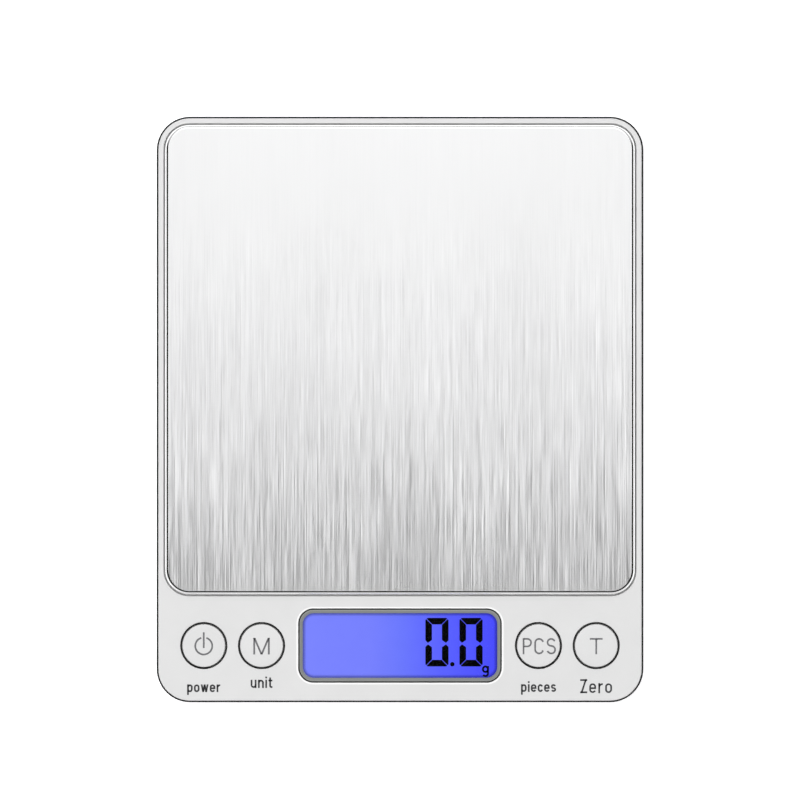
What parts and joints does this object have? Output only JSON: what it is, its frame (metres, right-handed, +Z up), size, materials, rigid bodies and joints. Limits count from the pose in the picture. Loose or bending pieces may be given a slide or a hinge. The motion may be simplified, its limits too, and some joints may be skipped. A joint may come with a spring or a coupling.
{
  "type": "digital gram scale",
  "caption": "Low rectangular table-top gram scale with a square steel weighing platform, a backlit digital display and round push-buttons.",
  "frame": {"origin": "on the surface that the feet stand on, under the centre of the body's plan", "axes": "+X to the user's right, +Y away from the user (the display is at -Y), +Z up"},
  "size_m": [0.1064, 0.128, 0.019],
  "materials": {
    "silver_abs": "fine satin, pale silver-grey",
    "charcoal_abs": "moulded, fine satin, dark grey",
    "white_abs": "moulded, satin",
    "bezel_grey": "satin grey with a slight metallic sheen",
    "brushed_steel": "brushed along the scale's length",
    "zinc_steel": "bright zinc plate",
    "aluminium": "milled",
    "nickel": "nickel-plated spring steel",
    "black_silicone": "matt black",
    "foot_rubber": "matt dark grey",
    "white_silicone": "cured sealant, slightly glossy",
    "clear_acrylic": "clear, polished",
    "lcd_glass": "polished",
    "blue_film": "backlit blue film",
    "light_guide": "diffusing white-blue acrylic",
    "led": "phosphor yellow in a white case",
    "black_abs": "moulded, satin black",
    "board": "green solder mask",
    "epoxy": "glossy black blob",
    "adhesive": "double-sided tape",
    "cell_jacket": "printed blue foil jacket with bare ends",
    "wire_red": "PVC sleeve",
    "wire_black": "PVC sleeve",
    "wire_ribbon": "bonded strands in red, black, green and white"
  },
  "bodies": {
    "body": {"lower_housing": "charcoal_abs", "upper_housing": "silver_abs", "rubber_foot_front_left": "foot_rubber", "rubber_foot_front_right": "foot_rubber", "rubber_foot_rear_left": "foot_rubber", "rubber_foot_rear_right": "foot_rubber", "housing_screw_front_left": "zinc_steel", "housing_screw_front_right": "zinc_steel", "housing_screw_rear_left": "zinc_steel", "housing_screw_rear_right": "zinc_steel", "load_cell": "aluminium", "gauge_seal_top": "white_silicone", "gauge_seal_bottom": "white_silicone", "load_cell_screw_1": "zinc_steel", "load_cell_screw_2": "zinc_steel", "load_cell_ribbon": "wire_ribbon", "display_bezel": "bezel_grey", "display_window": "clear_acrylic", "lcd_front_polarizer": "blue_film", "lcd_glass": "lcd_glass", "lcd_rear_polarizer": "blue_film", "backlight_guide": "light_guide", "backlight_led": "led", "lcd_holder": "black_abs", "zebra_strip": "black_silicone", "switch_body_power": "black_abs", "switch_body_mode": "black_abs", "switch_body_count": "black_abs", "switch_body_tare": "black_abs", "keypad_seal_left": "black_silicone", "keypad_seal_right": "black_silicone", "main_board": "board", "controller_epoxy": "epoxy", "capacitor": "aluminium", "board_screw_1": "zinc_steel", "board_screw_2": "zinc_steel", "contact_positive": "nickel", "contact_negative": "nickel", "contact_link": "nickel", "battery_1": "cell_jacket", "battery_2": "cell_jacket", "battery_lead_red": "wire_red", "battery_lead_black": "wire_black"},
    "platform": {"platform_plate": "brushed_steel", "platform_tape": "adhesive", "platform_tray": "white_abs", "platform_bracket": "zinc_steel", "bracket_screw_1": "zinc_steel", "bracket_screw_2": "zinc_steel", "tray_screw_1": "zinc_steel", "tray_screw_2": "zinc_steel"},
    "power_key": {"button_power": "silver_abs", "switch_plunger_power": "black_abs"},
    "mode_key": {"button_mode": "silver_abs", "switch_plunger_mode": "black_abs"},
    "count_key": {"button_count": "silver_abs", "switch_plunger_count": "black_abs"},
    "tare_key": {"button_tare": "silver_abs", "switch_plunger_tare": "black_abs"},
    "door": {"battery_door": "charcoal_abs"}
  },
  "joints": [
    {"name": "platform_load", "type": "slide", "parent": "body", "child": "platform", "axis": [0, 0, 1], "range_m": [-0.0005, 0], "stiffness_N_per_m": 60000, "deforming": ["load_cell"]},
    {"name": "power_press", "type": "slide", "parent": "body", "child": "power_key", "axis": [0, 0, 1], "range_m": [-0.00035, 0], "stiffness_N_per_m": 5300},
    {"name": "mode_press", "type": "slide", "parent": "body", "child": "mode_key", "axis": [0, 0, 1], "range_m": [-0.00035, 0], "stiffness_N_per_m": 5300},
    {"name": "count_press", "type": "slide", "parent": "body", "child": "count_key", "axis": [0, 0, 1], "range_m": [-0.00035, 0], "stiffness_N_per_m": 5300},
    {"name": "tare_press", "type": "slide", "parent": "body", "child": "tare_key", "axis": [0, 0, 1], "range_m": [-0.00035, 0], "stiffness_N_per_m": 5300},
    {"name": "door_hinge", "type": "hinge", "parent": "body", "child": "door", "pos_m": [0, 0.0566, 0.002], "axis": [1, 0, 0], "range_deg": [0, 95]}
  ]
}
